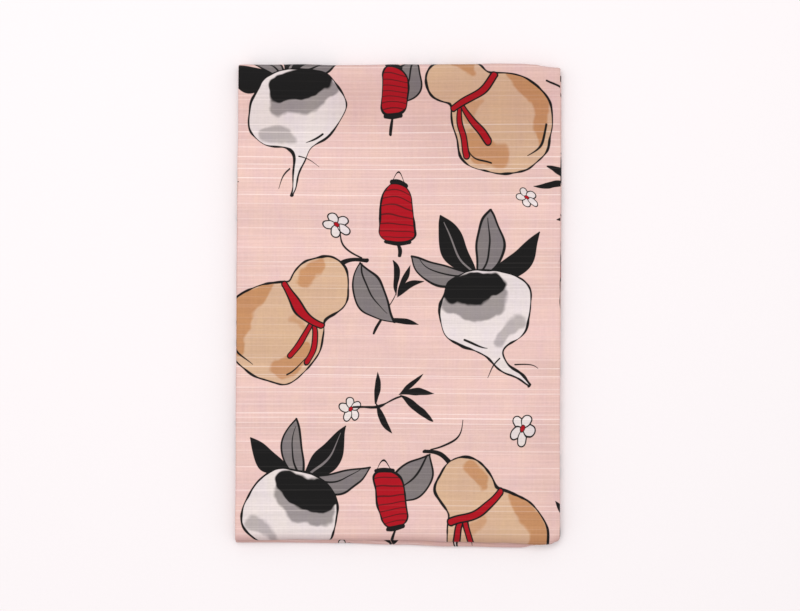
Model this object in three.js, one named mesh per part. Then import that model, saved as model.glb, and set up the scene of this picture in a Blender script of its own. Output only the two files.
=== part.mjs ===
// A folded furoshiki: one square wrapping cloth of slub cotton, folded flat as it is put away.
// Millimetres, +Z up. The fold that holds the cloth together lies towards +Y, and the two
// folds below it lie one on the other towards -Y.
//
// The cloth is first folded lengthwise into a band six plies thick. The band's two ends are
// folded to its middle, and the whole is folded in half. So the band lies in four layers:
//
//   face    the layer seen from above
//   within  the layer under it, which ends close to the middle fold
//   inside  the next layer down, which ends there too
//   back    the layer that lies on the surface
//
// The solid is that band, followed from the end of "within" to the end of "inside".

import * as THREE from "three";
import { mergeVertices } from "three/addons/utils/BufferGeometryUtils.js";

// The band of six plies, and how its layers lie on each other

const BAND_THICKNESS = 1.85;
const LAYER_GAP = 0.35;
const LAYER_PITCH = BAND_THICKNESS + LAYER_GAP;
const LAYER_LEVEL = { back: 0, inside: 1, within: 2, face: 3 };

// How far the three folds bulge past their straight layers

const OUTER_FOLD_REACH = LAYER_PITCH / 2;
const MIDDLE_FOLD_REACH = 2.4;

// Room between the ends of the two hidden layers and the middle fold that wraps them

const END_ROOM = 1.2;

// Along each side edge the six plies turn over, so the band thins out in a round edge

const SIDE_ROUND = 1.1;
const SIDE_EDGE_THICKNESS = 0.5;
const SIDE_ROUND_STEPS = 3;

// The stack is pressed flatter near its side edges than in the middle

const SIDE_PRESS = 0.14;
const SIDE_PRESS_WIDTH = 16;

// How finely the folds, the layers and the width are divided

const OUTER_FOLD_STEPS = 8;
const MIDDLE_FOLD_STEPS = 10;
const FACE_STEPS = 12;
const HIDDEN_LAYER_STEPS = 6;
const WIDTH_STATIONS = [
  -74, -62, -48, -32, -14, 4, 20, 36, 48, 58, 66, 71, 75, 78.5, 81.5,
];

// The three folds across the width: how far each reaches along Y, from the place midway
// between the ends of the left side edge

const FOLD_LINES = [
  { across: -88, middleFold: 129.0, upperFold: -126.6, lowerFold: -128.2 },
  { across: -52, middleFold: 129.2, upperFold: -126.2, lowerFold: -127.9 },
  { across: -31, middleFold: 128.7, upperFold: -126.1, lowerFold: -128.4 },
  { across: 1, middleFold: 129.2, upperFold: -126.0, lowerFold: -129.2 },
  { across: 28, middleFold: 129.2, upperFold: -126.3, lowerFold: -130.2 },
  { across: 55, middleFold: 129.6, upperFold: -126.8, lowerFold: -130.8 },
  { across: 66, middleFold: 129.6, upperFold: -127.1, lowerFold: -130.8 },
  { across: 74, middleFold: 129.0, upperFold: -127.8, lowerFold: -129.4 },
  { across: 78, middleFold: 128.1, upperFold: -128.8, lowerFold: -127.4 },
  { across: 82, middleFold: 127.6, upperFold: -129.1, lowerFold: -126.4 },
  { across: 85, middleFold: 127.4, upperFold: -127.6, lowerFold: -126.0 },
  { across: 88, middleFold: 127.3, upperFold: -126.2, lowerFold: -125.8 },
];

// The two side edges of the face, which lean a little, from bottom to top

const SIDE_EDGES = [
  { along: -131, left: -87.4, right: 87.1 },
  { along: -70, left: -87.0, right: 87.0 },
  { along: -13, left: -86.6, right: 87.2 },
  { along: 67, left: -86.2, right: 87.5 },
  { along: 100, left: -85.7, right: 87.4 },
  { along: 130, left: -85.5, right: 87.3 },
];

// How far each layer's side edges lie outside those of the face, at its three places:
// the bottom, the middle and the top of the layer

const SIDE_OFFSETS = [
  { layer: "back", along: -130, left: 0.3, right: 0.5 },
  { layer: "back", along: 0, left: 0.5, right: 0.1 },
  { layer: "back", along: 130, left: 0.1, right: 0.3 },
  { layer: "inside", along: -130, left: -0.4, right: 0.2 },
  { layer: "inside", along: 0, left: 0.1, right: -0.5 },
  { layer: "inside", along: 130, left: -0.6, right: -0.2 },
  { layer: "within", along: -130, left: 0.2, right: -0.1 },
  { layer: "within", along: 0, left: -0.5, right: 0.4 },
  { layer: "within", along: 130, left: 0.1, right: 0.5 },
  { layer: "face", along: -130, left: 0, right: 0 },
  { layer: "face", along: 130, left: 0, right: 0 },
];

const CLOTH_PINK = "#e0bcb4";
const CLOTH_ROUGHNESS = 0.9;

// A value read from a table, between its rows, with a soft curve from row to row

function readTable(rows, key, column, at) {
  const last = rows[rows.length - 1];
  if (at <= rows[0][key]) return rows[0][column];
  if (at >= last[key]) return last[column];
  const next = rows.findIndex((row) => row[key] >= at);
  const before = rows[next - 1];
  const after = rows[next];
  const share = (at - before[key]) / (after[key] - before[key]);
  return THREE.MathUtils.lerp(before[column], after[column], THREE.MathUtils.smoothstep(share, 0, 1));
}

// Heights of a layer's middle above the surface, before the stack is pressed

function layerHeight(layer) {
  return BAND_THICKNESS / 2 + LAYER_LEVEL[layer] * LAYER_PITCH;
}

// A straight layer from one Y to the other, its first point kept for the fold before it

function layerPoints(layer, fromY, toY, steps) {
  const points = [];
  for (let step = 0; step <= steps; step += 1) {
    const y = THREE.MathUtils.lerp(fromY, toY, step / steps);
    points.push({ y, z: layerHeight(layer), layer, weight: 1 });
  }
  return points;
}

// A fold between two layers, as half an oval that bulges by its reach, without its two ends

function foldPoints(layerBefore, layerAfter, rootY, reach, steps) {
  const points = [];
  const before = layerHeight(layerBefore);
  const after = layerHeight(layerAfter);
  for (let step = 1; step < steps; step += 1) {
    const angle = (Math.PI * step) / steps;
    points.push({
      y: rootY + reach * Math.sin(angle),
      z: (before + after) / 2 + ((before - after) / 2) * Math.cos(angle),
      layer: layerBefore,
      layerAfter,
      weight: 1 - step / steps,
    });
  }
  return points;
}

// The whole path of the band's middle, at one place across the width

function bandPath(across) {
  const half = BAND_THICKNESS / 2;
  const middleFold = readTable(FOLD_LINES, "across", "middleFold", across);
  const upperFold = readTable(FOLD_LINES, "across", "upperFold", across);
  const lowerFold = readTable(FOLD_LINES, "across", "lowerFold", across);
  const topRoot = middleFold - MIDDLE_FOLD_REACH - half;
  const upperRoot = upperFold + OUTER_FOLD_REACH + half;
  const lowerRoot = lowerFold + OUTER_FOLD_REACH + half;
  const hiddenEnd = topRoot - END_ROOM;
  return [
    ...layerPoints("within", hiddenEnd, upperRoot, HIDDEN_LAYER_STEPS),
    ...foldPoints("within", "face", upperRoot, -OUTER_FOLD_REACH, OUTER_FOLD_STEPS),
    ...layerPoints("face", upperRoot, topRoot, FACE_STEPS),
    ...foldPoints("face", "back", topRoot, MIDDLE_FOLD_REACH, MIDDLE_FOLD_STEPS),
    ...layerPoints("back", topRoot, lowerRoot, HIDDEN_LAYER_STEPS),
    ...foldPoints("back", "inside", lowerRoot, -OUTER_FOLD_REACH, OUTER_FOLD_STEPS),
    ...layerPoints("inside", lowerRoot, hiddenEnd, HIDDEN_LAYER_STEPS),
  ];
}

// A side edge's place at one point of the path: the face's edge and the layer's own offset

function sideEdge(side, point) {
  const offsetOf = (layer) => {
    const rows = SIDE_OFFSETS.filter((row) => row.layer === layer);
    return readTable(rows, "along", side, point.y);
  };
  const after = point.layerAfter ? offsetOf(point.layerAfter) : 0;
  const offset = offsetOf(point.layer) * point.weight + after * (1 - point.weight);
  const outward = side === "left" ? -1 : 1;
  return readTable(SIDE_EDGES, "along", side, point.y) + outward * offset;
}

// The columns across the width: how far in from an edge, and how thick the band is there

function widthColumns() {
  const round = [];
  for (let step = 0; step <= SIDE_ROUND_STEPS; step += 1) {
    const inward = 1 - Math.cos((Math.PI / 2) * (step / SIDE_ROUND_STEPS));
    const full = Math.sin((Math.PI / 2) * (step / SIDE_ROUND_STEPS));
    const thickness = THREE.MathUtils.lerp(SIDE_EDGE_THICKNESS, BAND_THICKNESS, full);
    round.push({ inset: SIDE_ROUND * inward, thickness });
  }
  const leftColumns = round.map((row) => ({ ...row, side: "left" }));
  const rightColumns = round.map((row) => ({ ...row, side: "right" })).reverse();
  const middleColumns = WIDTH_STATIONS.map((across) => ({ across, thickness: BAND_THICKNESS }));
  return [...leftColumns, ...middleColumns, ...rightColumns];
}

// How much of its height the stack keeps at one place across, pressed near the side edges

function pressAt(across) {
  const toEdge = Math.min(
    across - readTable(SIDE_EDGES, "along", "left", 0),
    readTable(SIDE_EDGES, "along", "right", 0) - across,
  );
  const share = THREE.MathUtils.clamp(1 - toEdge / SIDE_PRESS_WIDTH, 0, 1);
  return 1 - SIDE_PRESS * share * share;
}

// The two skins of the band: for each column, a ring of points up one skin and down the other

function bandGeometry() {
  const columns = widthColumns();
  const positions = [];
  for (const column of columns) {
    const guess = column.side
      ? readTable(SIDE_EDGES, "along", column.side, 0)
      : column.across;
    const path = bandPath(guess);
    const skins = [[], []];
    path.forEach((point, index) => {
      const before = path[Math.max(index - 1, 0)];
      const after = path[Math.min(index + 1, path.length - 1)];
      const run = new THREE.Vector2(after.y - before.y, after.z - before.z).normalize();
      const inward = column.side === "left" ? column.inset : -column.inset;
      const x = column.side ? sideEdge(column.side, point) + inward : column.across;
      const press = pressAt(x);
      [1, -1].forEach((skin, which) => {
        const offset = (skin * column.thickness) / 2;
        const y = point.y - run.y * offset;
        const z = (point.z + run.x * offset) * press;
        skins[which].push([x, y, z]);
      });
    });
    positions.push([...skins[0], ...skins[1].reverse()]);
  }
  return ringsToGeometry(positions);
}

// One closed body from rings of points that follow each other across the width

function ringsToGeometry(rings) {
  const size = rings[0].length;
  const index = [];
  for (let ring = 0; ring < rings.length - 1; ring += 1) {
    for (let step = 0; step < size; step += 1) {
      const a = ring * size + step;
      const b = ring * size + ((step + 1) % size);
      index.push(a, a + size, b, b, a + size, b + size);
    }
  }
  const last = (rings.length - 1) * size;
  const half = size / 2;
  for (let step = 0; step < half - 1; step += 1) {
    const upper = [step, step + 1];
    const lower = [size - 1 - step, size - 2 - step];
    index.push(upper[0], upper[1], lower[0], lower[0], upper[1], lower[1]);
    index.push(last + upper[0], last + lower[0], last + upper[1]);
    index.push(last + lower[0], last + lower[1], last + upper[1]);
  }
  const geometry = new THREE.BufferGeometry();
  geometry.setAttribute("position", new THREE.Float32BufferAttribute(rings.flat(2), 3));
  geometry.setIndex(index);
  return mergeVertices(geometry, 1e-3);
}

// The outline is centred on the origin, and the back layer lies on the surface

function centred(geometry) {
  geometry.computeBoundingBox();
  const box = geometry.boundingBox;
  geometry.translate(-(box.min.x + box.max.x) / 2, -(box.min.y + box.max.y) / 2, -box.min.z);
  geometry.computeVertexNormals();
  return geometry;
}

const cotton = new THREE.MeshStandardMaterial({
  name: "slub_cotton",
  color: CLOTH_PINK,
  roughness: CLOTH_ROUGHNESS,
  metalness: 0,
});

const foldedCloth = new THREE.Mesh(centred(bandGeometry()), cotton);
foldedCloth.name = "folded_cloth";

const furoshiki = new THREE.Group();
furoshiki.name = "furoshiki";
furoshiki.add(foldedCloth);

export default furoshiki;
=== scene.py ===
"""A folded furoshiki of printed slub cotton, laid out as a Blender add-on.

The wrapping cloth is one thin, nearly square sheet. It is folded lengthwise into a band of six
plies, the band's two ends are folded to its middle, and the whole is folded in half. Tables and
sizes are in millimetres, and Blender's own units are metres.
"""

import math

import bpy
import numpy as np
from bpy.props import FloatProperty, FloatVectorProperty, PointerProperty
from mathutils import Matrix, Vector


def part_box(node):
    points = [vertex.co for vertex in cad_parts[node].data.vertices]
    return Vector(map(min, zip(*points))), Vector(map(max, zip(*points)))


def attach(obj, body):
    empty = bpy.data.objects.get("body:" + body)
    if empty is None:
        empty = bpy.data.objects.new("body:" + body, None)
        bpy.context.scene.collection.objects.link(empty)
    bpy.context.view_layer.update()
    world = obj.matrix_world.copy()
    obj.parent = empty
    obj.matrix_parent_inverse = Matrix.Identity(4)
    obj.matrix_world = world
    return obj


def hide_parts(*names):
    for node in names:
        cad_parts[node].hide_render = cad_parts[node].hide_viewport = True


bl_info = {
    "name": "Folded Furoshiki",
    "version": (1, 0, 0),
    "blender": (4, 5, 0),
    "location": "3D View > Sidebar > Furoshiki",
    "description": "Folds a square printed wrapping cloth into a flat oblong and sets it in a plain studio",
    "category": "Add Mesh",
}

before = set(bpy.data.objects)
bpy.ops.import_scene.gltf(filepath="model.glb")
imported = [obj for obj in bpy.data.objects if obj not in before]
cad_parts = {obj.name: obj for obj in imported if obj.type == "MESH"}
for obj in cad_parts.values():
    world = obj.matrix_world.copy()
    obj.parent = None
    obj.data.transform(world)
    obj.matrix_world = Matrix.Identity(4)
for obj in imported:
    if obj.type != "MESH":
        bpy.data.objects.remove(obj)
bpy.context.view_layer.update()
CLOTH_NODE = "folded_cloth"
CLOTH_LOW, CLOTH_HIGH = (Vector(corner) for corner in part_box(CLOTH_NODE))

MM = 0.001


def linear(hex_colour):
    """Turns an sRGB hex colour such as #E0BEB6 into Blender's linear red, green, blue and alpha."""
    channels = [int(hex_colour[place:place + 2], 16) / 255 for place in (1, 3, 5)]
    curve = [c / 12.92 if c <= 0.04045 else ((c + 0.055) / 1.055) ** 2.4 for c in channels]
    return (*curve, 1.0)


def table(columns, *rows):
    """Makes a table whose rows give each value under its column's name."""
    return tuple(dict(zip(columns.split(), row, strict=True)) for row in rows)


def by_name(columns, *rows):
    """Makes a table whose rows are found by their names."""
    return {row["name"]: row for row in table(columns, *rows)}


def length_value(name, description, default):
    """A length of a property group, in metres."""
    return FloatProperty(name=name, description=description, default=default, unit="LENGTH")


def colour_value(name, description, hex_colour):
    """A colour of a property group."""
    return FloatVectorProperty(
        name=name, description=description, default=linear(hex_colour), size=4, subtype="COLOR",
        min=0, max=1)


# The three folds across the width: how far each reaches along Y. The middle fold holds the
# stack together at the top, and the upper and lower folds lie on each other at the bottom.

FOLD_LINES = table(
    "across middle upper lower",
    (-88, 129.0, -126.8, -128.3),
    (-52, 129.2, -126.4, -128.2),
    (-31, 128.7, -126.4, -128.6),
    (1, 129.2, -126.7, -129.4),
    (28, 129.2, -127.5, -130.3),
    (55, 129.6, -128.2, -130.9),
    (66, 129.6, -128.7, -130.8),
    (74, 129.0, -129.2, -129.7),
    (78, 128.1, -129.2, -127.4),
    (82, 127.6, -129.0, -126.4),
    (85, 127.4, -127.6, -126.0),
    (88, 127.3, -126.2, -125.8))

# The two side edges of the face, from bottom to top: they lean a little

SIDE_EDGES = table(
    "along left right",
    (-131, -87.4, 87.1),
    (-70, -87.0, 87.0),
    (-13, -86.6, 87.2),
    (67, -86.2, 87.5),
    (100, -85.7, 87.4),
    (130, -85.5, 87.3))

# How far each layer's side edges lie outside those of the face

SIDE_OFFSETS = table(
    "layer along left right",
    ("back", -130, 0.3, 0.5),
    ("back", 0, 0.5, 0.1),
    ("back", 130, 0.1, 0.3),
    ("inside", -130, -0.4, 0.2),
    ("inside", 0, 0.1, -0.5),
    ("inside", 130, -0.6, -0.2),
    ("within", -130, 0.2, -0.1),
    ("within", 0, -0.5, 0.4),
    ("within", 130, 0.1, 0.5),
    ("face", -130, 0.0, 0.0),
    ("face", 130, 0.0, 0.0))

# The four layers of the band, by height, and which way the printed front of the band looks

LAYERS = by_name(
    "name level looks",
    ("back", 0, -1),
    ("inside", 1, 1),
    ("within", 2, -1),
    ("face", 3, 1))

# The band's way through the stack: each layer from fold to fold, each fold from layer to layer

BAND_WAY = table(
    "part start end steps",
    ("within", "hidden", "upper", 26),
    ("upper", "within", "face", 10),
    ("face", "upper", "middle", 150),
    ("middle", "face", "back", 14),
    ("back", "middle", "lower", 30),
    ("lower", "back", "inside", 10),
    ("inside", "lower", "hidden", 26))
FOLD_REACH = {"upper": -1.9, "middle": 2.4, "lower": -1.5}
HIDDEN_END_ROOM = 1.2

# How the folds waver: waves of about this length and depth, and for side folds two sets of
# them, whose depth is a share of the fold's own wander

FOLD_WAVES = {"wave": 38, "depth": 0.10}
SIDE_WAVES = table("first_seed wave divided_by", (100, 46, 1), (200, 15, 3))

# The cloth's way across the band, from one hem to the other. Level counts plies from the
# band's middle, so 2.5 is the front ply and -2.5 the last one behind it. A turn is a side
# fold, at side 0 on the left or side 1 on the right: set_in is how far it lies inside the
# band's edge, reach how far it bulges, wander how far it strays inwards.

SIDE_TURNS = by_name(
    "name side set_in reach wander",
    ("outer hem", 1, 6.0, 0.2, 0.8),
    ("left fold", 0, 0.0, 1.0, 0.12),
    ("right fold", 1, 0.0, 1.2, 0.12),
    ("free fold", 0, 3.2, 0.5, 0.9),
    ("right fold within", 1, 0.7, 0.9, 0.2),
    ("left fold within", 0, 0.6, 0.5, 0.2),
    ("inner hem", 1, 7.0, 0.2, 0.8))
PLY_WAY = table(
    "ply level start end steps",
    ("first", -0.5, "outer hem", "left fold", 12),
    ("front", 2.5, "left fold", "right fold", 112),
    ("rear", -2.5, "right fold", "free fold", 12),
    ("fourth", -1.5, "free fold", "right fold within", 12),
    ("fifth", 1.5, "right fold within", "left fold within", 12),
    ("last", 0.5, "left fold within", "inner hem", 12))
SHOWN_LAYER, SHOWN_PLY = "face", "front"
SIDE_TURN_STEPS = 8
HEM_STEPS = 3
HEM_LIFT = 0.35
HEM_ROLL = {"steps": 4, "reach": 0.15}

# Where the side edges lie roughly. The true places of folds and edges depend on each other,
# so they are worked out from there in a few rounds.

ROUGH_EDGE = 87
ROUNDS = 3

# The stack is pressed flatter near its side edges and its lower folds

SIDE_PRESS = {"depth": 0.14, "width": 16, "edges": SIDE_EDGES[2]}
LOWER_PRESS = {"depth": 0.10, "width": 6.5, "along": FOLD_LINES[3]["upper"]}

# How much painted shade darkens the colour along each fold's outermost part, and how soon that fades out

FOLD_SHADES = by_name(
    "name depth fade",
    ("middle", 0.80, 0.8),
    ("upper", 1.0, 3.6),
    ("lower", 1.0, 6.0),
    ("left fold", 0.45, 0.6),
    ("right fold", 0.20, 0.6))

# Places in the face where painted shade darkens the colour, as lines from one place to another

SHADED_PLACES = table(
    "from to half_width depth",
    ((-26, 110), (88, 112), 17, 0.72),
    ((24, 88), (88, 90), 20, 0.35),
    ((-88, 104), (-62, 106), 16, 0.4),
    ((84, -40), (86, -128), 13, 0.28),
    ((-86, -108), (-84, -130), 9, 0.16))

# How wide each part of the sheet lies on its baking map, next to the face

MAP_SHARES = {
    "face": 1.0, "front": 1.0, "left fold": 1.0, "right fold": 1.0, "upper": 1.0, "middle": 1.0,
    "lower": 0.7, "back": 0.4, "hidden": 0.06}

MAP_MARGIN = 0.004

# Where the middle of the face lies on the flat cloth, as a share of its width and length

FACE_MIDDLE = {"across": 1 / 4, "along": 3 / 8}

# The middle of the picture, from the middle of the cloth's outline

PICTURE_MIDDLE = (1.0, 0.1)

# The studio: one square soft light high over the cloth in an even glow, in metres and watts

OVERHEAD = {"place": (-0.12, 0.3, 1.35), "size": 1.0, "power": 8.6}
GLOW = {"colour": (1.0, 0.985, 0.99, 1.0), "strength": 0.76}
FLOOR_SIZE = 6

# Soft troughs (below zero) and ridges in the face, as lines from one place to another

CREASES = table(
    "from to half_width height",
    ((-86, 96), (-20, 110), 9, 0.1),
    ((10, 126), (62, 118), 7, -0.14),
    ((70, 129), (80, 92), 5, -0.16),
    ((-60, 30), (30, 52), 18, 0.12),
    ((20, -30), (84, -8), 14, -0.1),
    ((-84, -60), (-30, -74), 10, -0.1),
    ((-40, -118), (30, -112), 6, 0.12),
    ((62, -126), (82, -98), 5, -0.18))

# The low unevenness all over the face: waves of these lengths that bend and lean a little. It
# and the creases fade out from ply to ply below the face.

FACE_WAVES = {"height": 0.05, "across": 13, "along": 17, "bend": 0.7, "bend_over": 31, "lean": 60}
FACE_FADE = 3


class FuroshikiCloth(bpy.types.PropertyGroup):
    """Sizes of the cloth and of the folded stack."""

    flat_width: length_value("Flat width", "Width of the cloth as cut, folded in six", 1.04)
    flat_length: length_value("Flat length", "Length of the cloth as cut, folded in four", 1.03)
    ply_pitch: length_value("Ply pitch", "From one ply to the next in the band", 0.31 * MM)
    layer_gap: length_value("Layer gap", "Air between two layers of the band", 0.35 * MM)
    hem: length_value("Hem", "Width of cloth turned under along its two long sides", 8 * MM)


class FuroshikiPrint(bpy.types.PropertyGroup):
    """Colours of the dyed ground and of the printing inks."""

    ground: colour_value("Ground", "Dusty pink of the dyed cotton", "#E0BEB6")
    tan: colour_value("Tan", "Pale fill of the gourds", "#CFAC8E")
    amber: colour_value("Amber", "Wash on the gourds", "#B98050")
    white: colour_value("White", "Opaque white, toned by the pink cloth beneath", "#DDD3D1")
    grey: colour_value("Grey", "Thinned black, as a wash", "#7A7373")
    black: colour_value("Black", "Black of lines and dark patches", "#151414")
    red: colour_value("Red", "Bright red of the lanterns", "#A80C1C")


class FuroshikiStudio(bpy.types.PropertyGroup):
    """Camera and floor."""

    camera_height: length_value("Camera height", "Height of the camera above the surface", 1.6)
    view_width: length_value("View width", "Width of the picture at the height of the face", 0.4288)
    floor: colour_value("Floor", "Pale surface under the cloth", "#F2EDEE")


def read_table(rows, key, column, at):
    """Reads a column of a table at many places, with a soft curve from row to row."""
    places = np.array([row[key] for row in rows], float)
    values = np.array([row[column] for row in rows], float)
    at = np.clip(at, places[0], places[-1])
    after = np.clip(np.searchsorted(places, at, side="right"), 1, len(places) - 1)
    share = (at - places[after - 1]) / (places[after] - places[after - 1])
    share = share * share * (3 - 2 * share)
    return values[after - 1] + (values[after] - values[after - 1]) * share


def drift(seed, along, wave, depth):
    """A slow uneven line: three sine waves of about one length, which stay the same each run."""
    draws = np.random.default_rng(seed)
    total = 0
    for phase, stretch in zip(draws.uniform(0, 2 * math.pi, 3), draws.uniform(0.6, 1.7, 3)):
        total = total + np.sin(2 * math.pi * along / (wave * stretch) + phase)
    return depth * total / 1.7


def band_thickness(sizes):
    """How thick the plies of one layer of the band are together, in millimetres."""
    return len(PLY_WAY) * sizes.ply_pitch / MM


def band_rows(sizes):
    """Rows of the sheet along the band: each run and turn, as places relative to the folds."""
    thickness = band_thickness(sizes)
    rows = []

    def height(layer):
        return thickness / 2 + LAYERS[layer]["level"] * (thickness + sizes.layer_gap / MM)

    for step in BAND_WAY:
        part, before, after = step["part"], step["start"], step["end"]
        shares = np.linspace(0, 1, step["steps"] + 1)
        if part in LAYERS:
            for share in shares:
                rows.append({
                    "part": part, "start": before, "end": after, "share": share, "bulge": 0.0,
                    "z": height(part), "normal": (0.0, LAYERS[part]["looks"]),
                    "before": part, "after": part, "blend": 0.0})
            continue
        half_height = (height(before) - height(after)) / 2
        for share in shares[1:-1]:
            angle = math.pi * share
            across = math.sin(angle) / FOLD_REACH[part]
            up = LAYERS[before]["looks"] * math.cos(angle) / abs(half_height)
            length = math.hypot(across, up)
            rows.append({
                "part": part, "start": part, "end": part, "share": 0.0,
                "bulge": FOLD_REACH[part] * math.sin(angle),
                "z": height(after) + half_height * (1 + math.cos(angle)),
                "normal": (across / length, up / length),
                "before": before, "after": after, "blend": share})
    return rows


def ply_columns(sizes):
    """Columns of the sheet across the band: hems, plies and side turns, from hem to hem."""
    columns = []

    def turn_column(name, level, bulge):
        turn = SIDE_TURNS[name]
        inward = turn["set_in"] + turn["reach"] * (1 - bulge)
        columns.append({
            "part": name, "side": turn["side"], "inset": inward if turn["side"] == 0 else -inward,
            "level": level, "turns": {name: 1.0}})

    def hem_columns(name, level, lift, backwards):
        hem = sizes.hem / MM
        steps = [(lift, hem * (1 - step / HEM_STEPS)) for step in range(HEM_STEPS)]
        for step in range(HEM_ROLL["steps"]):
            angle = math.pi * step / HEM_ROLL["steps"]
            steps.append((lift / 2 * (1 + math.cos(angle)), -HEM_ROLL["reach"] * math.sin(angle)))
        for rise, inward in reversed(steps) if backwards else steps:
            turn_column(name, level + rise, 1 - inward / SIDE_TURNS[name]["reach"])

    hem_columns("outer hem", PLY_WAY[0]["level"], HEM_LIFT, False)
    for place, ply in enumerate(PLY_WAY):
        start, end = SIDE_TURNS[ply["start"]], SIDE_TURNS[ply["end"]]
        start_inset = start["set_in"] + start["reach"]
        end_inset = end["set_in"] + end["reach"]
        for step in range(ply["steps"] + 1):
            share = step / ply["steps"]
            side = start["side"] + (end["side"] - start["side"]) * share
            inset = (start_inset if start["side"] == 0 else -start_inset) * (1 - share)
            inset += (end_inset if end["side"] == 0 else -end_inset) * share
            columns.append({
                "part": ply["ply"], "side": side, "inset": inset, "level": ply["level"],
                "turns": {ply["start"]: 1 - share, ply["end"]: share}})
        if place < len(PLY_WAY) - 1:
            next_level = PLY_WAY[place + 1]["level"]
            for step in range(1, SIDE_TURN_STEPS):
                angle = math.pi * step / SIDE_TURN_STEPS
                middle, half = (ply["level"] + next_level) / 2, (ply["level"] - next_level) / 2
                turn_column(ply["end"], middle + half * math.cos(angle), math.sin(angle))
    hem_columns("inner hem", PLY_WAY[-1]["level"], -HEM_LIFT, True)
    return columns


def folded_places(sizes, rows, columns):
    """Where each point of the sheet lies in the folded stack, as rows by columns of x, y, z."""
    thickness = band_thickness(sizes)
    stack = len(LAYERS) * thickness + (len(LAYERS) - 1) * sizes.layer_gap / MM
    normals = np.array([row["normal"] for row in rows])
    offset = np.array([column["level"] for column in columns]) * sizes.ply_pitch / MM
    side = np.array([column["side"] for column in columns])
    inset = np.array([column["inset"] for column in columns])
    x = np.tile(-ROUGH_EDGE * (1 - side) + ROUGH_EDGE * side + inset, (len(rows), 1))
    for _ in range(ROUNDS):
        root = {}
        for seed, name in enumerate(("upper", "lower", "middle")):
            outer_ply = -thickness / 2 if name == "middle" else thickness / 2
            line = read_table(FOLD_LINES, "across", name, x) - FOLD_REACH[name] + outer_ply
            root[name] = line + drift(seed, x, **FOLD_WAVES)
        root["hidden"] = root["middle"] - HIDDEN_END_ROOM
        y = np.stack([
            root[row["start"]][place] * (1 - row["share"]) + root[row["end"]][place] * row["share"]
            + row["bulge"] for place, row in enumerate(rows)])
        x = side_places(rows, columns, y, side, inset)
    z = np.array([row["z"] for row in rows])[:, None] + normals[:, 1:] * offset
    y = y + normals[:, :1] * offset
    z = z * pressing(x, y)
    z = z + face_relief(x, y) * np.clip(z / stack, 0, 1) ** FACE_FADE
    return np.stack([x, y, z], axis=-1)


def side_places(rows, columns, y, side, inset):
    """Each point's x, between the side edges of its layer, with the wander of its side folds."""
    edge = {}
    for name in ("left", "right"):
        outward = -1 if name == "left" else 1
        by_layer = {}
        for layer in LAYERS:
            offsets = [row for row in SIDE_OFFSETS if row["layer"] == layer]
            by_layer[layer] = outward * read_table(offsets, "along", name, y)
        edge[name] = read_table(SIDE_EDGES, "along", name, y) + np.stack([
            by_layer[row["before"]][place] * (1 - row["blend"])
            + by_layer[row["after"]][place] * row["blend"] for place, row in enumerate(rows)])
    x = edge["left"] * (1 - side) + edge["right"] * side + inset
    way = np.cumsum(np.abs(np.diff(y[:, 0], prepend=y[0, 0])))[:, None]
    for seed, (name, turn) in enumerate(SIDE_TURNS.items()):
        weight = np.array([column["turns"].get(name, 0.0) for column in columns])
        wander = sum(
            drift(row["first_seed"] + seed, way, row["wave"], turn["wander"] / row["divided_by"])
            for row in SIDE_WAVES)
        inward = 1 if turn["side"] == 0 else -1
        x = x + weight * np.abs(wander) * inward
    return x


def pressing(x, y):
    """How much of its height the stack keeps at each place."""
    to_side = np.minimum(x - SIDE_PRESS["edges"]["left"], SIDE_PRESS["edges"]["right"] - x)
    near_side = np.clip(1 - to_side / SIDE_PRESS["width"], 0, 1)
    near_fold = np.clip(1 - (y - LOWER_PRESS["along"]) / LOWER_PRESS["width"], 0, 1)
    return 1 - SIDE_PRESS["depth"] * near_side ** 2 - LOWER_PRESS["depth"] * near_fold ** 2


def nearness(x, y, row):
    """How near each place is to a table row's line, from 1 on the line to 0 far from it."""
    start, end = np.array(row["from"], float), np.array(row["to"], float)
    run = end - start
    share = ((x - start[0]) * run[0] + (y - start[1]) * run[1]) / (run @ run)
    inside = np.clip(share, 0, 1)
    gap = np.hypot(x - start[0] - inside * run[0], y - start[1] - inside * run[1])
    return np.exp(-(gap / row["half_width"]) ** 2)


def face_relief(x, y):
    """Height of the soft creases in the face, and of a very low unevenness all over it."""
    waves = FACE_WAVES
    bent = x / waves["across"] + waves["bend"] * np.sin(y / waves["bend_over"])
    relief = waves["height"] * np.sin(bent) * np.sin(y / waves["along"] + x / waves["lean"])
    for crease in CREASES:
        relief = relief + crease["height"] * nearness(x, y, crease)
    return relief


def flat_lengths(places, axis, shown, middle):
    """How far each point lies along the flat cloth, measured over the folded sheet.

    Every line of points is measured from where its shown steps pass the middle of the stack,
    so the weave and the print run straight over the face."""
    lines = np.moveaxis(places, axis, 0)
    steps = np.linalg.norm(np.diff(lines, axis=0), axis=-1)
    lengths = np.insert(np.cumsum(steps, axis=0), 0, 0, axis=0)
    way = lines[shown, :, 1 - axis]
    starts = [np.interp(0, way[:, line], lengths[shown, line]) for line in range(way.shape[1])]
    return np.moveaxis(lengths - np.array(starts) + middle, 0, axis)


def fold_shading(flat, axis, parts):
    """How much painted shade darkens each point for the folds along its row or column that it is near.

    A fold's painted shade is full over the middle third of its steps, and fades out on both sides."""
    shade_amounts = np.zeros(flat.shape)
    for name, tone in FOLD_SHADES.items():
        places = [place for place, part in enumerate(parts) if part == name]
        if not places:
            continue
        third = len(places) // 3
        start, end = (np.take(flat, [place], axis) for place in (places[third], places[-1 - third]))
        gap = np.maximum(np.maximum(start - flat, flat - end), 0) / MM
        shade_amounts = np.maximum(shade_amounts, tone["depth"] * np.exp(-(gap / tone["fade"]) ** 2))
    return shade_amounts


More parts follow.
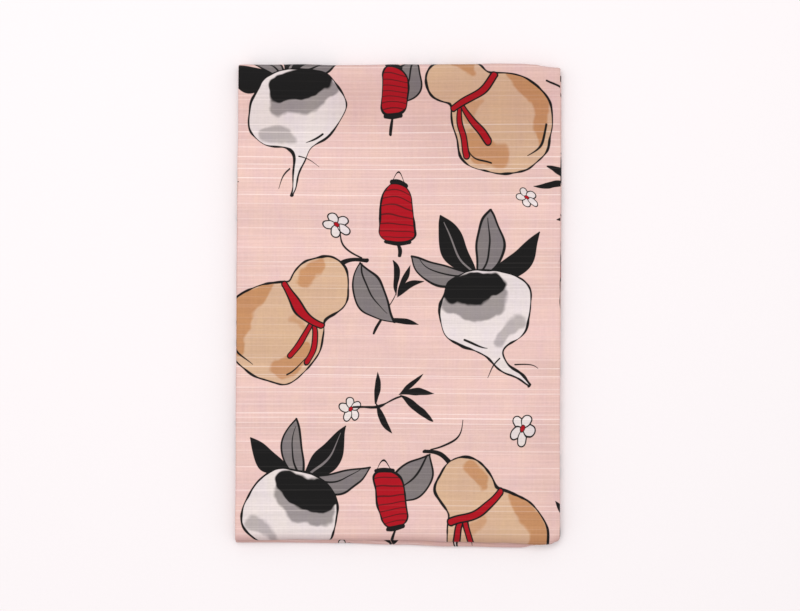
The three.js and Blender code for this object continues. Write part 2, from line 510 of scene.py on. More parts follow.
def face_shading(places):
    """How much painted shade darkens each point for the shaded places in the face that it is near."""
    x, y, z = np.moveaxis(places, -1, 0)
    shade_amounts = sum(place["depth"] * nearness(x, y, place) for place in SHADED_PLACES)
    return shade_amounts * np.clip(z / z.max(), 0, 1) ** FACE_FADE


def map_places(flat, axis, parts):
    """Spreads rows or columns over a picture's side: parts that show wide, hidden ones thin."""
    steps = np.median(np.abs(np.diff(flat, axis=axis)), axis=1 - axis)
    shares = np.array([MAP_SHARES.get(part, MAP_SHARES["hidden"]) for part in parts])
    spread = np.insert(np.cumsum(steps * (shares[1:] + shares[:-1]) / 2), 0, 0)
    spread = MAP_MARGIN + (1 - 2 * MAP_MARGIN) * spread / spread[-1]
    return np.broadcast_to(np.expand_dims(spread, 1 - axis), flat.shape)


def add_node(tree, kind, *values, out=0, **settings):
    """Adds one node with its settings, gives its inputs values or links, and returns an output.

    A dict among the values names its inputs. None leaves an input as it is."""
    node = tree.nodes.new("ShaderNode" + kind)
    for setting, value in settings.items():
        setattr(node, setting, value)
    pairs = []
    for place, value in enumerate(values):
        pairs += value.items() if isinstance(value, dict) else [(place, value)]
    for place, value in pairs:
        if isinstance(value, bpy.types.NodeSocket):
            tree.links.new(value, node.inputs[place])
        elif value is not None:
            node.inputs[place].default_value = value
    return node.outputs[out]


def maths(tree, operation, *values, **settings):
    """Adds a node that works out one number."""
    return add_node(tree, "Math", *values, operation=operation, **settings)


def vector_maths(tree, operation, *values):
    """Adds a node that works out one vector, or one number from vectors."""
    out = 1 if operation in {"DOT_PRODUCT", "DISTANCE", "LENGTH"} else 0
    return add_node(tree, "VectorMath", *values, out=out, operation=operation)


def add_noise(tree, vector, scale, detail, roughness=0.5, out="Fac"):
    """Adds a flat noise, whose spots are about one over scale wide."""
    return add_node(
        tree, "TexNoise",
        {"Vector": vector, "Scale": scale, "Detail": detail, "Roughness": roughness},
        out=out, noise_dimensions="2D")


def add_long_noise(tree, point, across, along, detail, roughness=0.5):
    """Adds a flat noise whose spots are longer one way: one over across by one over along."""
    place = vector_maths(tree, "MULTIPLY", point, (across, along, 0))
    return add_noise(tree, place, 1.0, detail, roughness)


def mix_colours(tree, share, first, second, **settings):
    """Mixes two colours: the first at a share of zero, the second at one."""
    return add_node(
        tree, "Mix", {0: share, 6: first, 7: second}, out=2, data_type="RGBA", **settings)


def soft_step(tree, value, start, end, strength=1):
    """Rises softly from zero where the value is start to the strength where it is end."""
    return add_node(
        tree, "MapRange", value, start, end, 0, strength, interpolation_type="SMOOTHSTEP")


def rim_distance(tree, point, middle, radius):
    """How far a point lies outside a disc, below zero inside it."""
    gap = vector_maths(tree, "DISTANCE", point, middle)
    return maths(tree, "SUBTRACT", gap, radius)


def new_material(name):
    """Makes a material with an empty node tree, and returns both."""
    material = bpy.data.materials.new(name)
    material.use_nodes = True
    material.node_tree.nodes.clear()
    return material, material.node_tree


def put_out(tree, kind, result):
    """Ends a material's or a world's tree with its output node."""
    output = tree.nodes.new("ShaderNodeOutput" + kind)
    tree.links.new(result, output.inputs["Surface"])


def new_group(name, inputs, outputs):
    """Makes a node group, and returns it with what it is given and where its results go."""
    group = bpy.data.node_groups.new(name, "ShaderNodeTree")
    for in_out, sockets in (("INPUT", inputs), ("OUTPUT", outputs)):
        for socket_name, kind in sockets.items():
            group.interface.new_socket(socket_name, in_out=in_out, socket_type="NodeSocket" + kind)
    given = group.nodes.new("NodeGroupInput").outputs
    results = group.nodes.new("NodeGroupOutput").inputs
    return group, given, results


# How softly an inked edge ends, and the line width that stands for no line

INK_EDGE = 0.15
NO_LINE = -1.0


def stroke_group():
    """One brush stroke or leaf: a tapered, bent spine that is filled and then outlined.

    A line width below zero leaves the outline off, and a wide soft edge makes the fill a wash.
    Links join sockets of one kind only, because each conversion between kinds costs the renderer
    memory that it has too little of for all strokes together."""
    group, given, results = new_group(
        "Brush stroke",
        {"Under": "Color", "Point": "Vector", "From": "Vector", "To": "Vector", "Start": "Float",
         "End": "Float", "Belly": "Float", "Bend": "Float", "Pressure": "Float", "Fill": "Color",
         "Soft edge": "Float", "Strength": "Float", "Line": "Color", "Line width": "Float"},
        {"Color": "Color"})
    run = vector_maths(group, "SUBTRACT", given["To"], given["From"])
    square = vector_maths(group, "DOT_PRODUCT", run, run)
    away = vector_maths(group, "SUBTRACT", given["Point"], given["From"])
    dot = vector_maths(group, "DOT_PRODUCT", away, run)
    along = maths(group, "DIVIDE", dot, square, use_clamp=True)
    half_turn = maths(group, "MULTIPLY", along, math.pi)
    bow = maths(group, "SINE", half_turn)
    across = vector_maths(group, "CROSS_PRODUCT", (0, 0, 1), run)
    unit = vector_maths(group, "NORMALIZE", across)
    bent = maths(group, "MULTIPLY", bow, given["Bend"])
    lean = vector_maths(group, "SCALE", unit, {"Scale": bent})
    reach = vector_maths(group, "SCALE", run, {"Scale": along})
    spine = vector_maths(group, "ADD", reach, given["From"])
    foot = vector_maths(group, "ADD", spine, lean)
    gap = vector_maths(group, "DISTANCE", given["Point"], foot)
    taper = add_node(group, "Mix", along, {2: given["Start"], 3: given["End"]})
    half_width = maths(group, "MULTIPLY_ADD", bow, given["Belly"], taper)
    pressed = maths(group, "ADD", half_width, given["Pressure"])
    distance = maths(group, "SUBTRACT", gap, pressed)
    inner_edge = maths(group, "MULTIPLY", given["Soft edge"], -1)
    fill = soft_step(group, distance, given["Soft edge"], inner_edge, given["Strength"])
    filled = mix_colours(group, fill, given["Under"], given["Fill"])
    rim = maths(group, "ABSOLUTE", distance)
    line_gap = maths(group, "SUBTRACT", rim, given["Line width"])
    line = soft_step(group, line_gap, INK_EDGE, -INK_EDGE)
    group.links.new(mix_colours(group, line, filled, given["Line"]), results["Color"])
    return group


def place_group():
    """Scatters a motif in offset rows: each cell gets it with its own turn, shift and hand."""
    group, given, results = new_group(
        "Motif place",
        {"Point": "Vector", "Cell": "Vector", "Shift": "Vector", "Seed": "Float",
         "Swing": "Float", "Jitter": "Float", "Size": "Float"},
        {"Point": "Vector"})
    moved = vector_maths(group, "SUBTRACT", given["Point"], given["Shift"])
    cells = vector_maths(group, "DIVIDE", moved, given["Cell"])
    split = add_node(group, "SeparateXYZ", cells)
    row = maths(group, "FLOOR", split.node.outputs["Y"])
    half_row = maths(group, "MULTIPLY", row, 0.5)
    brick = maths(group, "FRACT", half_row)
    column = maths(group, "ADD", split, brick)
    bricked = add_node(group, "CombineXYZ", column, split.node.outputs["Y"], 0)
    number = vector_maths(group, "FLOOR", bricked)
    part = vector_maths(group, "FRACTION", bricked)
    centred = vector_maths(group, "SUBTRACT", part, (0.5, 0.5, 0))
    local = vector_maths(group, "MULTIPLY", centred, given["Cell"])
    seeded = vector_maths(group, "ADD", number, given["Seed"])
    chance = add_node(group, "TexWhiteNoise", seeded, noise_dimensions="3D")
    colour = chance.node.outputs["Color"]
    off_centre = vector_maths(group, "SUBTRACT", colour, (0.5, 0.5, 0.5))
    shift = vector_maths(group, "SCALE", off_centre, {"Scale": given["Jitter"]})
    shifted = vector_maths(group, "SUBTRACT", local, shift)
    signed = maths(group, "SUBTRACT", chance, 0.5)
    angle = maths(group, "MULTIPLY", signed, given["Swing"])
    turned = add_node(
        group, "VectorRotate", {"Vector": shifted, "Angle": angle}, rotation_type="Z_AXIS")
    blue = add_node(group, "SeparateColor", colour, out=2)
    other_hand = maths(group, "GREATER_THAN", blue, 0.5)
    hand = maths(group, "MULTIPLY_ADD", other_hand, -2, 1)
    mirror = add_node(group, "CombineXYZ", hand, 1, 0)
    mirrored = vector_maths(group, "MULTIPLY", turned, mirror)
    size = add_node(group, "CombineXYZ", given["Size"], given["Size"], 1)
    sized = vector_maths(group, "DIVIDE", mirrored, size)
    group.links.new(sized, results["Point"])
    return group


MOTIF_INPUTS = {"Under": "Color", "Point": "Vector", "Pressure": "Float", "Ragged": "Float"}

# Strokes of each motif, in millimetres about its middle: a tapered spine from one place to
# another, half as wide as start, belly and end say. A shape is in one ink with a line of
# another round it. A brush stroke is black. A wash has a soft edge, a strength and no line.

BRUSH_COLUMNS = "from to start end belly bend"
SHAPE_COLUMNS = BRUSH_COLUMNS + " fill line width"
WASH_COLUMNS = BRUSH_COLUMNS + " fill soft strength"

GOURD_STALK = table(
    SHAPE_COLUMNS,
    ((0, 28), (7, 41), 1.7, 1.1, -0.3, 2.0, "black", "black", 0.0),
    ((6, 38), (36, 30), 0.0, 0.0, 7.6, -4.0, "grey", "black", 0.55),
    ((7, 38.4), (31, 31.5), 0.4, 0.1, 0.1, -3.6, "black", "black", 0.0),
    ((4, 40), (-14, 44), 0.5, 0.2, 0.1, 4.5, "black", "black", 0.0))
GOURD_CORD = table(
    SHAPE_COLUMNS,
    ((8, 3), (21, -13), 1.0, 1.6, 0.2, 2.5, "red", "black", 0.35),
    ((7.5, 2.6), (11, -17), 1.0, 1.6, 0.2, 1.0, "red", "black", 0.35),
    ((-12.8, 4.6), (12.6, 4.6), 1.6, 1.6, 0.2, -2.4, "red", "black", 0.4))
GOURD_FORM_LINES = table(
    BRUSH_COLUMNS,
    ((-15, -29), (1, -34), 0.6, 0.15, 0.2, -2.5),
    ((17, -24), (19, -12), 0.4, 0.1, 0.1, -1.0))
GOURD_WASHES = table(
    WASH_COLUMNS,
    ((-19, 0), (-6, -34), 2.4, 1.6, 3.4, -6.0, "amber", 0.8, 0.8),
    ((15, -10), (12, -25), 3.6, 5.0, 0.8, 1.5, "amber", 0.8, 0.75),
    ((-8, 23), (-7, 12), 3.2, 2.2, 0.8, -1.0, "amber", 0.8, 0.75),
    ((1, -2), (10, -4), 1.2, 2.4, 0.4, 1.0, "amber", 0.9, 0.5))
TURNIP_LEAVES = table(
    SHAPE_COLUMNS,
    ((-3, 12), (-31, 27), 1.4, 0.0, 5.0, 4.0, "grey", "black", 0.55),
    ((4, 12), (31, 26), 1.4, 0.0, 4.8, -4.5, "black", "black", 0.4),
    ((-1, 13), (-12, 44), 1.4, 0.0, 5.2, 2.6, "black", "black", 0.4),
    ((2, 12), (11, 40), 1.4, 0.0, 5.0, -2.6, "grey", "black", 0.55),
    ((-4, 13), (-27, 26), 0.5, 0.1, 0.1, 3.7, "black", "black", 0.0),
    ((2, 13), (10, 36), 0.5, 0.1, 0.1, -2.4, "black", "black", 0.0),
    ((-1, 14), (-11, 40), 0.5, 0.1, 0.1, 2.4, "grey", "grey", 0.0))
TURNIP_ROOTS = table(
    BRUSH_COLUMNS,
    ((-12, -18), (-2, -21.5), 0.5, 0.1, 0.2, -0.8),
    ((9, -33), (17, -38), 0.4, 0.1, 0.0, 1.0),
    ((3, -28), (-5, -35), 0.4, 0.1, 0.0, -1.0))
TURNIP_PATCHES = table(
    WASH_COLUMNS,
    ((-16, 2), (5, 1), 5.0, 6.6, 1.4, -2.0, "grey", 0.9, 0.8),
    ((-14, 8), (6, 7), 6.6, 6.0, 1.0, -1.0, "black", 0.6, 1.0),
    ((15, -13), (4, -20), 3.2, 2.0, 0.8, -1.5, "grey", 1.1, 0.55))
LANTERN_CAPS = table(
    BRUSH_COLUMNS,
    ((-4.6, 15.2), (4.6, 15.2), 1.3, 1.3, 0.2, 0.5),
    ((-4.6, -15.2), (4.6, -15.2), 1.3, 1.3, 0.2, -0.5),
    ((-3.6, 16.4), (3.6, 16.4), 0.5, 0.5, 0.1, 5.5),
    ((0, -16.5), (0.8, -24.5), 0.6, 0.9, 0.2, 0.4))
BAMBOO_SPRIG = table(
    BRUSH_COLUMNS,
    ((-17, -12), (6, 5), 0.7, 0.4, 0.0, -1.2),
    ((5, 5), (24, 3), 0.2, 0.0, 1.8, 1.4),
    ((4.6, 5.4), (20, 15), 0.2, 0.0, 1.9, 1.6),
    ((4, 5), (8, 22), 0.2, 0.0, 1.7, -1.0),
    ((-7, -4), (-14, 12), 0.2, 0.0, 1.7, -1.2),
    ((-6.4, -4.2), (8, -13), 0.2, 0.0, 1.8, -1.2))
BLOSSOM_PETALS = table(
    SHAPE_COLUMNS,
    *(((0.6 * math.cos(turn), 0.6 * math.sin(turn)), (5.2 * math.cos(turn), 5.2 * math.sin(turn)),
       0.8, 2.5, 0.8, 0.0, "white", "black", 0.38)
      for turn in np.radians((90, 162, 234, 306, 378))))
BLOSSOM_HEART = table(
    SHAPE_COLUMNS,
    ((-0.3, 0), (0.3, 0), 1.3, 1.3, 0.0, 0.0, "red", "black", 0.2))

# The bodies of the larger motifs, and the half width of the lines round them

GOURD_BODY = {"low": (0, -14.5, 0), "low_radius": 24, "high": (0, 16.5, 0), "high_radius": 13.8}
TURNIP_BULB = {"squat": (1.0, 1.16, 1.0), "middle": (0, -5, 0), "radius": 23}
TURNIP_TAIL = {"top": -18, "tip": -43, "aside": 12, "top_radius": 5.5, "tip_radius": 0.4}
LANTERN_BODY = {"inner_half": (2.0, 8.6, 0), "rounding": 6.2}
LANTERN_RIBS = {"pitch": 1.9, "sag": 0.012, "half_width": 0.45, "core": 0.20, "strength": 0.7}
JOIN_ROUNDING = 7.0
BODY_LINE = {"gourd": 0.48, "turnip": 0.48, "lantern": 0.5}


def draw_strokes(group, under, strokes, point, pressure, inks, brush):
    """Draws the strokes of a table over what lies under them, the first row first."""
    for row in strokes:
        line_width = row.get("width", NO_LINE if "soft" in row else 0.0)
        under = add_node(group, "Group", {
            "Under": under, "Point": point, "From": (*row["from"], 0), "To": (*row["to"], 0),
            "Start": row["start"], "End": row["end"], "Belly": row["belly"], "Bend": row["bend"],
            "Pressure": pressure, "Fill": inks[row.get("fill", "black")],
            "Soft edge": row.get("soft", INK_EDGE), "Strength": row.get("strength", 1.0),
            "Line": inks[row.get("line", "black")], "Line width": line_width}, node_tree=brush)
    return under


def fill_and_outline(group, under, body, inside_colour, line_width, given, inks):
    """Fills a shape, given as a distance from its rim, and draws a brushed line along the rim."""
    inside = soft_step(group, body, INK_EDGE, -INK_EDGE)
    filled = mix_colours(group, inside, under, inside_colour)
    rim = maths(group, "ABSOLUTE", body)
    edge = maths(group, "SUBTRACT", rim, given["Pressure"])
    line = soft_step(group, edge, line_width + INK_EDGE, line_width - INK_EDGE)
    return mix_colours(group, line, filled, inks["black"])


def paint_gourd(group, given, inks, draw):
    """A bottle gourd, tan with amber washes, a red cord round its neck and a grey leaf."""
    point = given["Point"]
    stalk = draw(given["Under"], GOURD_STALK)
    low = rim_distance(group, point, GOURD_BODY["low"], GOURD_BODY["low_radius"])
    high = rim_distance(group, point, GOURD_BODY["high"], GOURD_BODY["high_radius"])
    body = maths(group, "SMOOTH_MIN", low, high, JOIN_ROUNDING)
    skin = draw(inks["tan"], GOURD_WASHES, given["Ragged"])
    drawn = fill_and_outline(group, stalk, body, skin, BODY_LINE["gourd"], given, inks)
    drawn = draw(drawn, GOURD_FORM_LINES)
    return draw(drawn, GOURD_CORD)


def paint_turnip(group, given, inks, draw):
    """A white turnip with a black patch in a grey wash, and four dark leaves."""
    point = given["Point"]
    leaves = draw(given["Under"], TURNIP_LEAVES)
    squat = vector_maths(group, "MULTIPLY", point, TURNIP_BULB["squat"])
    bulb = rim_distance(group, squat, TURNIP_BULB["middle"], TURNIP_BULB["radius"])
    height = vector_maths(group, "DOT_PRODUCT", point, (0, 1, 0))
    top, tip = TURNIP_TAIL["top"], TURNIP_TAIL["tip"]
    drop = add_node(group, "MapRange", height, top, tip, 0, 1)
    lean = maths(group, "MULTIPLY", drop, drop)
    tail_x = maths(group, "MULTIPLY", lean, TURNIP_TAIL["aside"])
    tail_y = maths(group, "MULTIPLY_ADD", drop, tip - top, top)
    tail_at = add_node(group, "CombineXYZ", tail_x, tail_y, 0)
    tail_radius = add_node(
        group, "MapRange", drop, 0, 1, TURNIP_TAIL["top_radius"], TURNIP_TAIL["tip_radius"])
    tail = rim_distance(group, point, tail_at, tail_radius)
    body = maths(group, "SMOOTH_MIN", bulb, tail, JOIN_ROUNDING)
    skin = draw(inks["white"], TURNIP_PATCHES, given["Ragged"])
    drawn = fill_and_outline(group, leaves, body, skin, BODY_LINE["turnip"], given, inks)
    return draw(drawn, TURNIP_ROOTS)


def paint_lantern(group, given, inks, draw):
    """A small red paper lantern with dark ribs, black caps, a loop and a tassel."""
    point = given["Point"]
    folded = vector_maths(group, "ABSOLUTE", point)
    corner = vector_maths(group, "SUBTRACT", folded, LANTERN_BODY["inner_half"])
    outside = vector_maths(group, "MAXIMUM", corner, (0, 0, 0))
    gap = vector_maths(group, "LENGTH", outside)
    body = maths(group, "SUBTRACT", gap, LANTERN_BODY["rounding"])
    across = vector_maths(group, "DOT_PRODUCT", point, (1, 0, 0))
    height = vector_maths(group, "DOT_PRODUCT", point, (0, 1, 0))
    bow = maths(group, "MULTIPLY", across, across)
    rib_place = maths(group, "MULTIPLY_ADD", bow, LANTERN_RIBS["sag"], height)
    rib_gap = maths(group, "PINGPONG", rib_place, LANTERN_RIBS["pitch"])
    rib = soft_step(
        group, rib_gap, LANTERN_RIBS["half_width"], LANTERN_RIBS["core"], LANTERN_RIBS["strength"])
    paper = mix_colours(group, rib, inks["red"], inks["black"])
    drawn = fill_and_outline(
        group, given["Under"], body, paper, BODY_LINE["lantern"], given, inks)
    return draw(drawn, LANTERN_CAPS)


def paint_sprig(group, given, inks, draw):
    """A sprig of bamboo, brushed in black."""
    return draw(given["Under"], BAMBOO_SPRIG, given["Pressure"])


def paint_blossom(group, given, inks, draw):
    """A white plum blossom with a red heart."""
    return draw(draw(given["Under"], BLOSSOM_PETALS), BLOSSOM_HEART)


# The motifs, each with the function that paints it

PAINTERS = {"gourd": paint_gourd, "turnip": paint_turnip, "lantern": paint_lantern,
            "sprig": paint_sprig, "blossom": paint_blossom}


def motif_group(name, inks, brush):
    """Makes the node group that paints a motif over what lies under it."""
    group, given, results = new_group(name.capitalize(), MOTIF_INPUTS, {"Color": "Color"})

    def draw(under, strokes, pressure=0):
        return draw_strokes(group, under, strokes, given["Point"], pressure, inks, brush)

    group.links.new(PAINTERS[name](group, given, inks, draw), results["Color"])
    return group


# Where the motifs stand in the repeat, in millimetres. Each one is turned by up to half of
# swing either way, in degrees. Rows are offset by half a cell, and later rows lie on top.

REPEAT_CELL = (204, 110)
MOTIFS = table(
    "name size shift swing jitter seed",
    ("blossom", 1.0, (22, 44), 360, 8, 21),
    ("blossom", 0.8, (128, 60), 360, 8, 8),
    ("sprig", 1.0, (152, 58), 120, 5, 5),
    ("sprig", 0.9, (50, 4), 200, 5, 9),
    ("gourd", 1.12, (0, 0), 130, 4, 3),
    ("turnip", 1.12, (102, 3), 100, 4, 11),
    ("lantern", 0.95, (54, 54), 24, 9, 2),
    ("lantern", 0.95, (155, 6), 20, 6, 17))

# Weft slubs: thick threads about this far apart that stray from straight by up to half of
# sway. Each one swells between thin and thick, with a soft edge. Its swellings are read this
# far from those of its neighbours in the noise, so that they differ.

SLUBS = {"pitch": 3.4, "sway": 3.0, "thin": 0.22, "thick": 0.42, "soft": 0.22, "own_place": 9000}


def printed_picture(tree, point, inks):
    """The print over the dyed ground, with a hand-drawn wobble in all its outlines."""
    wobble = add_noise(tree, point, 0.035, 1.0, 0.4, out="Color")
    wobble_off = vector_maths(tree, "SUBTRACT", wobble, (0.5, 0.5, 0.5))
    wobbled = vector_maths(tree, "MULTIPLY_ADD", wobble_off, (9, 9, 0), point)
    brush_noise = add_noise(tree, point, 0.11, 1.0)
    pressure = add_node(tree, "MapRange", brush_noise, 0.3, 0.7, -0.22, 0.28)
    ragged_noise = add_noise(tree, point, 0.07, 2.0, 0.55)
    ragged = add_node(tree, "MapRange", ragged_noise, 0.3, 0.7, -1.3, 1.3)
    brush, place = stroke_group(), place_group()
    motifs = {name: motif_group(name, inks, brush) for name in PAINTERS}
    picture = inks["ground"]
    for motif in MOTIFS:
        local = add_node(tree, "Group", {
            "Point": wobbled, "Cell": (*REPEAT_CELL, 1), "Shift": (*motif["shift"], 0),
            "Seed": motif["seed"], "Swing": math.radians(motif["swing"]),
            "Jitter": motif["jitter"], "Size": motif["size"]}, node_tree=place)
        picture = add_node(tree, "Group", {
            "Under": picture, "Point": local, "Pressure": pressure, "Ragged": ragged},
            node_tree=motifs[motif["name"]])
    return picture


def slub_threads(tree, point):
    """Where the thick weft threads run, and how thick each is there, from 0 to 1."""
    sway = add_long_noise(tree, point, 0.006, 0.004, 0.0)
    swayed = maths(
        tree, "MULTIPLY_ADD", sway, SLUBS["sway"], add_node(tree, "SeparateXYZ", point, out=1))
    thread_number = maths(tree, "DIVIDE", swayed, SLUBS["pitch"])
    thread = add_node(
        tree, "TexVoronoi", {"W": thread_number, "Scale": 1.0, "Randomness": 1.0},
        voronoi_dimensions="1D")
    thread_gap = maths(tree, "MULTIPLY", thread, SLUBS["pitch"])
    thread_kind = add_node(tree, "SeparateColor", thread.node.outputs["Color"])
    swell_place = add_node(
        tree, "CombineXYZ", add_node(tree, "SeparateXYZ", point),
        maths(tree, "MULTIPLY", thread_kind, SLUBS["own_place"]), 0)
    swell_noise = add_noise(tree, swell_place, 0.012, 4.0, 0.6)
    swell = add_node(tree, "MapRange", swell_noise, 0.3, 0.7, 0.45, 1.0)
    thread_edge = add_node(tree, "MapRange", swell, 0, 1, SLUBS["thin"], SLUBS["thick"])
    thread_core = maths(tree, "SUBTRACT", thread_edge, SLUBS["soft"])
    slub_line = soft_step(tree, thread_gap, thread_edge, thread_core)
    thread_rank = thread_kind.node.outputs["Green"]
    thread_square = maths(tree, "MULTIPLY", thread_rank, thread_rank)
    thread_weight = add_node(tree, "MapRange", thread_square, 0, 1, 0.14, 1.0)
    slub = maths(tree, "MULTIPLY", slub_line, thread_weight)
    return maths(tree, "MULTIPLY", slub, swell)


def printed_slub_cotton(colours):
    """Plain-woven slub cotton, dyed dusty pink and printed with pigment: matt, with thicker
    weft threads that show as pale lines right across ground and print alike."""
    material, tree = new_material("printed_slub_cotton")
    inks = {name: tuple(getattr(colours, name)) for name in
            ("ground", "tan", "amber", "white", "grey", "black", "red")}
    flat = add_node(tree, "UVMap", uv_map="print")
    point = vector_maths(tree, "MULTIPLY", flat, (1 / MM, 1 / MM, 0))
    picture = printed_picture(tree, point, inks)

    # Between the slubs, the weave's lines are drawn about 1 mm apart: its threads, 0.3 mm apart,
    # are too fine to show
    slub = slub_threads(tree, point)
    weft = add_long_noise(tree, point, 0.02, 1.1, 1.0, 0.6)
    warp = add_long_noise(tree, point, 1.1, 0.05, 0.0)
    band = add_long_noise(tree, point, 0.004, 0.08, 2.0)
    grain = add_long_noise(tree, point, 0.45, 1.1, 2.0, 0.7)

    # Print on the ply beneath shows faintly through: soft changes from a warm tint to a lilac one
    beneath = add_long_noise(tree, point, 0.10, 0.05, 3.0, 0.6)
    shown_through = add_node(tree, "MapRange", beneath, 0.25, 0.75, 0, 1)
    tint = mix_colours(tree, shown_through, (1.02, 1.01, 0.97, 1), (0.97, 0.95, 1.0, 1))
    tinted = mix_colours(tree, 1.0, picture, tint, blend_type="MULTIPLY")

    # Each pattern's own range is spread between two shades of the dye
    tone = 1.0
    for pattern, low, high, darkest, palest in (
            (weft, 0.25, 0.75, 0.955, 1.045), (warp, 0.25, 0.75, 0.985, 1.015),
            (band, 0.3, 0.7, 0.955, 1.04), (grain, 0.25, 0.75, 0.97, 1.03),
            (slub, 0, 1, 1.0, 1.08)):
        shade = add_node(tree, "MapRange", pattern, low, high, darkest, palest)
        tone = maths(tree, "MULTIPLY", tone, shade)
    toned = vector_maths(tree, "SCALE", tinted, {"Scale": tone})

    # Thick threads take up less dye, and hardly show where dark ink covers them
    lightness = vector_maths(tree, "DOT_PRODUCT", tinted, (0.1, 0.6, 0.3))
    shows = add_node(tree, "MapRange", lightness, 0.04, 0.52, 0.02, 0.55)
    pale = maths(tree, "MULTIPLY", slub, shows)
    streaked = mix_colours(tree, pale, toned, linear("#FFF3EF"))

    # Painted shade: on its folds and in the shaded places of its face, the cloth's colour is darkened
    painted_shade = add_node(tree, "Attribute", out="Fac", attribute_name="painted_shade")
    shaded_colour = vector_maths(tree, "MULTIPLY", streaked, (0.79, 0.73, 0.735))
    cloth_colour = mix_colours(tree, painted_shade, streaked, shaded_colour)

    relief = maths(tree, "MULTIPLY_ADD", slub, 0.8, weft)
    relief = maths(tree, "MULTIPLY_ADD", warp, 0.4, relief)
    bump = add_node(tree, "Bump", {"Strength": 0.6, "Distance": 0.12 * MM, "Height": relief})
    shader = add_node(tree, "BsdfPrincipled", {
        "Base Color": cloth_colour, "Roughness": 0.88, "Normal": bump,
        "Specular IOR Level": 0.15, "Sheen Weight": 0.08, "Sheen Roughness": 0.5})
    put_out(tree, "Material", shader)
    return material


def matt_backdrop_paper(colour):
    """Matt backdrop paper: a smooth pale surface, with the faint tooth of its fibres."""
    material, tree = new_material("matt_backdrop_paper")
    place = add_node(tree, "TexCoord", out="Object")
    fibres = add_node(tree, "TexNoise", {"Vector": place, "Scale": 900.0, "Detail": 2.0})
    tone = add_node(tree, "MapRange", fibres, 0.3, 0.7, 0.995, 1.005)
    toned = vector_maths(tree, "SCALE", tuple(colour)[:3], {"Scale": tone})
    shader = add_node(tree, "BsdfPrincipled", {
        "Base Color": toned, "Roughness": 0.95, "Specular IOR Level": 0.1})
    put_out(tree, "Material", shader)
    return material


def fill_uv_map(mesh, name, across, along):
    """Gives the sheet a UV map from each point's two places, given as rows by columns."""
    layer = mesh.uv_layers.get(name) or mesh.uv_layers.new(name=name)
    points = np.empty(len(mesh.loops), np.int32)
    mesh.loops.foreach_get("vertex_index", points)
    layer.data.foreach_set("uv", np.stack([across.ravel(), along.ravel()], axis=-1)[points].ravel())


class FUROSHIKI_OT_fold_cloth(bpy.types.Operator):
    """Lays the cloth out flat as a grid and folds it into the stack"""

    bl_idname = "furoshiki.fold_cloth"
    bl_label = "Fold cloth"

    def execute(self, context):
        sizes = context.scene.furoshiki_cloth
        rows, columns = band_rows(sizes), ply_columns(sizes)
        row_parts = [row["part"] for row in rows]
        column_parts = [column["part"] for column in columns]
        places = folded_places(sizes, rows, columns)
        row_count, column_count = places.shape[:2]
        bpy.ops.object.select_all(action="DESELECT")
        bpy.ops.mesh.primitive_grid_add(
            x_subdivisions=column_count - 1, y_subdivisions=row_count - 1, size=1)
        cloth = context.object
        cloth.name = cloth.data.name = "furoshiki_sheet"
        mesh = cloth.data
        if len(mesh.vertices) != row_count * column_count:
            raise RuntimeError("the grid has another number of points than the folded sheet")
        low, high = places.min(axis=(0, 1)), places.max(axis=(0, 1))
        middle = (CLOTH_LOW + CLOTH_HIGH) / 2
        settled = places * MM
        settled[..., 0] += middle.x - (low[0] + high[0]) / 2 * MM
        settled[..., 1] += middle.y - (low[1] + high[1]) / 2 * MM
        mesh.vertices.foreach_set("co", settled.reshape(-1, 3).ravel())
        shown_rows = [place for place, part in enumerate(row_parts) if part == SHOWN_LAYER]
        shown_columns = [place for place, part in enumerate(column_parts) if part == SHOWN_PLY]
        across = flat_lengths(
            settled, 1, shown_columns, sizes.flat_width * FACE_MIDDLE["across"])
        along = flat_lengths(settled, 0, shown_rows, sizes.flat_length * FACE_MIDDLE["along"])
        mesh.uv_layers[0].name = "print"
        fill_uv_map(mesh, "print", across, along)
        fill_uv_map(
            mesh, "OFBake", map_places(across, 1, column_parts), map_places(along, 0, row_parts))
        # Painted shade: how much the colour is darkened on the folds and in the shaded places of the face
        shade_amounts = np.maximum(fold_shading(across, 1, column_parts), fold_shading(along, 0, row_parts))
        shade_amounts = np.maximum(shade_amounts, face_shading(places))
        mesh.attributes.new("painted_shade", "FLOAT", "POINT").data.foreach_set("value", shade_amounts.ravel())
        bpy.ops.object.shade_smooth()
        mesh.materials.append(printed_slub_cotton(context.scene.furoshiki_print))
        mesh.update()
        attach(cloth, "root")
        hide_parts(CLOTH_NODE)
        return {"FINISHED"}


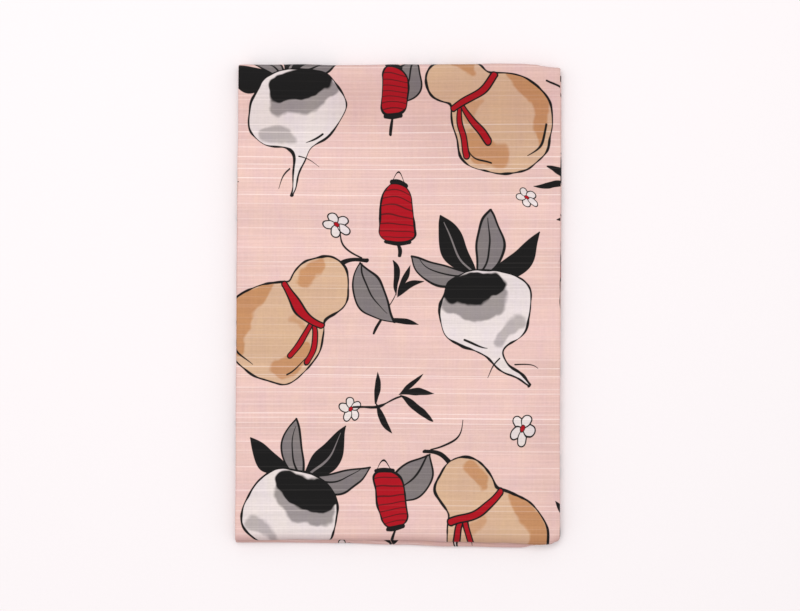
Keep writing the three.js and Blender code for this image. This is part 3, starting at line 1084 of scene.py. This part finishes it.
class FUROSHIKI_OT_set_stage(bpy.types.Operator):
    """Adds the surface, the soft light and the camera straight above the cloth"""

    bl_idname = "furoshiki.set_stage"
    bl_label = "Set stage"

    def execute(self, context):
        studio = context.scene.furoshiki_studio
        bpy.ops.object.select_all(action="DESELECT")
        bpy.ops.mesh.primitive_plane_add(size=FLOOR_SIZE, location=(0, 0, 0))
        floor = context.object
        floor.name = "floor"
        floor.data.materials.append(matt_backdrop_paper(studio.floor))
        self.add_light(context)
        world = context.scene.world or bpy.data.worlds.new("studio")
        context.scene.world = world
        world.use_nodes = True
        world.node_tree.nodes.clear()
        glow = add_node(world.node_tree, "Background", GLOW["colour"], GLOW["strength"])
        put_out(world.node_tree, "World", glow)
        self.add_camera(context, studio)
        context.scene.view_settings.view_transform = "Standard"
        return {"FINISHED"}

    def add_light(self, context):
        """Adds the square soft light, turned to the middle of the surface."""
        bpy.ops.object.light_add(type="AREA", location=OVERHEAD["place"])
        light = context.object
        light.name = "overhead"
        light.data.size = OVERHEAD["size"]
        light.data.energy = OVERHEAD["power"]
        away = -Vector(OVERHEAD["place"])
        light.rotation_euler = away.to_track_quat("-Z", "Y").to_euler()

    def add_camera(self, context, studio):
        """Adds a camera that looks straight down, with the cloth where the picture has it."""
        middle_x = PICTURE_MIDDLE[0] * MM
        middle_y = PICTURE_MIDDLE[1] * MM
        bpy.ops.object.camera_add(
            location=(middle_x, middle_y, studio.camera_height), rotation=(0, 0, 0))
        camera = context.object
        camera.name = "camera"
        camera.data.sensor_width = 36
        to_face = studio.camera_height - CLOTH_HIGH.z
        camera.data.lens = camera.data.sensor_width * to_face / studio.view_width
        context.scene.camera = camera


class FUROSHIKI_PT_sidebar(bpy.types.Panel):
    """Lists the steps and the values that they use"""

    bl_idname = "FUROSHIKI_PT_sidebar"
    bl_label = "Folded Furoshiki"
    bl_space_type = "VIEW_3D"
    bl_region_type = "UI"
    bl_category = "Furoshiki"

    def draw(self, context):
        for title, name, operator in (
                ("Cloth", "furoshiki_cloth", "furoshiki.fold_cloth"),
                ("Print", "furoshiki_print", None),
                ("Stage", "furoshiki_studio", "furoshiki.set_stage")):
            box = self.layout.box()
            box.label(text=title)
            group = getattr(context.scene, name)
            for value in group.bl_rna.properties:
                if value.identifier not in {"rna_type", "name"}:
                    box.prop(group, value.identifier)
            if operator:
                box.operator(operator)


CLASSES = (FuroshikiCloth, FuroshikiPrint, FuroshikiStudio, FUROSHIKI_OT_fold_cloth,
           FUROSHIKI_OT_set_stage, FUROSHIKI_PT_sidebar)
SCENE_GROUPS = {"furoshiki_cloth": FuroshikiCloth, "furoshiki_print": FuroshikiPrint,
                "furoshiki_studio": FuroshikiStudio}


def register():
    for cls in CLASSES:
        bpy.utils.register_class(cls)
    for name, group in SCENE_GROUPS.items():
        setattr(bpy.types.Scene, name, PointerProperty(type=group))


def unregister():
    for name in SCENE_GROUPS:
        delattr(bpy.types.Scene, name)
    for cls in reversed(CLASSES):
        bpy.utils.unregister_class(cls)


def main():
    register()
    bpy.ops.furoshiki.fold_cloth()
    bpy.ops.furoshiki.set_stage()


if __name__ == "__main__":
    main()
